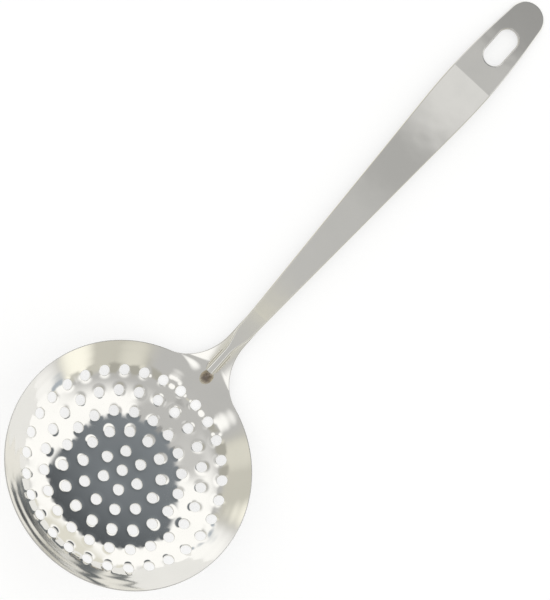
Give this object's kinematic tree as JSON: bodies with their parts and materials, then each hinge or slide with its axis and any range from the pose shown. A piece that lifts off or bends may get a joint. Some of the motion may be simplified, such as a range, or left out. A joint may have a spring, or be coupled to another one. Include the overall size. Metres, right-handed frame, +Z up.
{
  "type": "kitchen skimmer",
  "caption": "Shallow round bowl pierced with rings of small holes, on a long flat strip handle with a hanging slot, for lifting food out of hot liquid.",
  "frame": {"origin": "on the table, under the middle of the whole length and width, as the skimmer lies on the underside of its bowl and the end of its handle", "axes": "+X runs from the bowl to the handle's end, +Y is to the left of that, +Z is up from the table"},
  "size_m": [0.3494, 0.118, 0.0542],
  "materials": {
    "polished_steel": "mirror-polished stainless sheet and strip",
    "weld_metal": "polished weld metal, tinted brown by heat at the tang's end"
  },
  "bodies": {
    "root": {"bowl": "polished_steel", "handle": "polished_steel", "tang_end_weld": "weld_metal", "left_seam_weld": "weld_metal", "right_seam_weld": "weld_metal"}
  },
  "joints": []
}
